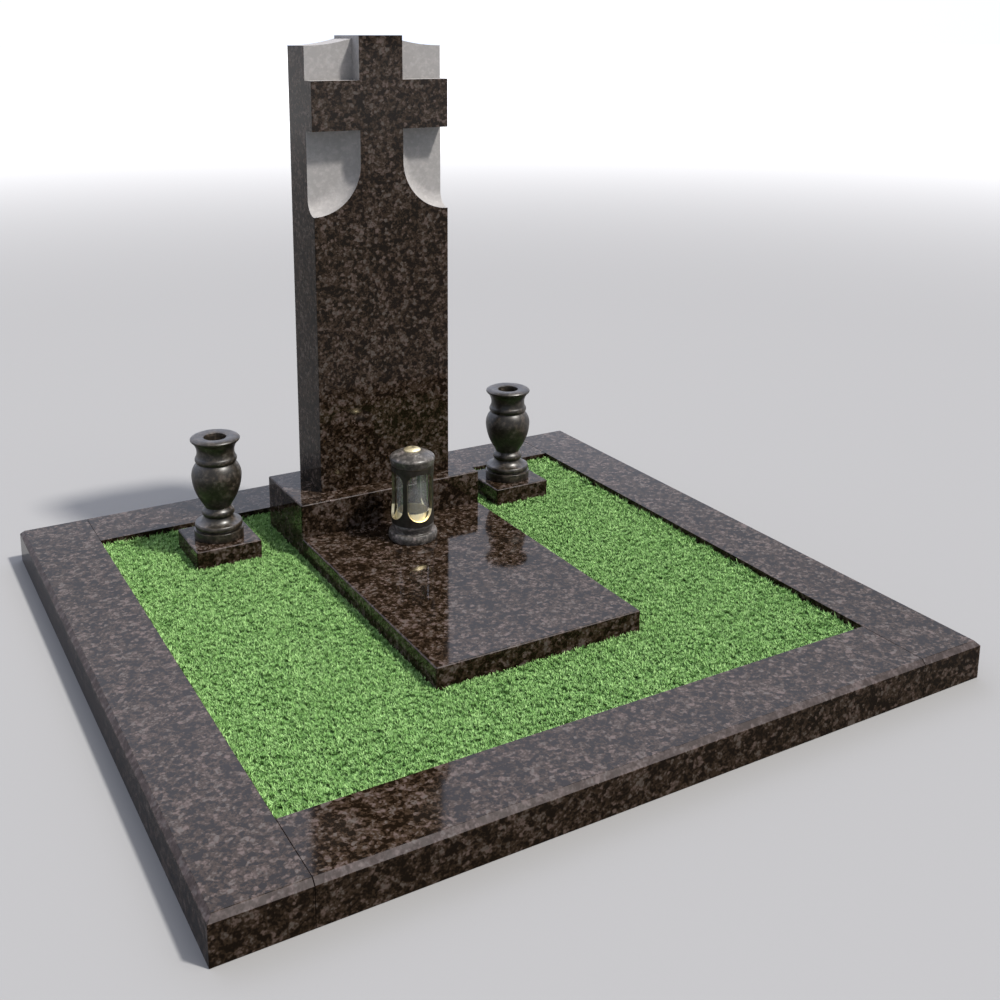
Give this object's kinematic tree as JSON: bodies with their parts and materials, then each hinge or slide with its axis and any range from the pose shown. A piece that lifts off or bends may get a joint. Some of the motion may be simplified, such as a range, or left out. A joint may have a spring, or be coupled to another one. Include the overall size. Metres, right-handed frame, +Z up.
{
  "type": "grave memorial complex",
  "caption": "Kerbed grave plot in polished dark granite with turf, ledger slab, plinth, tall stele with a cross head, turned vases and a lantern.",
  "frame": {"origin": "middle of the plot's outline at ground level", "axes": "+Z up, the front faces -Y, +X to the viewer's right"},
  "size_m": [2, 1.9, 1.5906],
  "materials": {
    "granite": "polished dark brown-black granite with pinkish grey grains; the sunk fields and the crest of the stele are left matt and light grey",
    "turf": "short dense artificial turf on a levelled bed",
    "dark_bronze": "near-black outside, brass-coloured inside",
    "brass": "polished",
    "clear_glass": "clear"
  },
  "bodies": {
    "root": {"kerb_left": "granite", "kerb_right": "granite", "kerb_front": "granite", "kerb_back": "granite", "ledger": "granite", "plinth": "granite", "stele": "granite", "vase_base_left": "granite", "vase_base_right": "granite", "vase_left": "granite", "vase_right": "granite", "lantern_base": "granite", "lantern_cap": "granite", "turf_bed": "turf", "lantern_body": "dark_bronze", "lantern_collar": "brass", "lantern_knob": "brass", "lantern_glass": "clear_glass"}
  },
  "joints": []
}
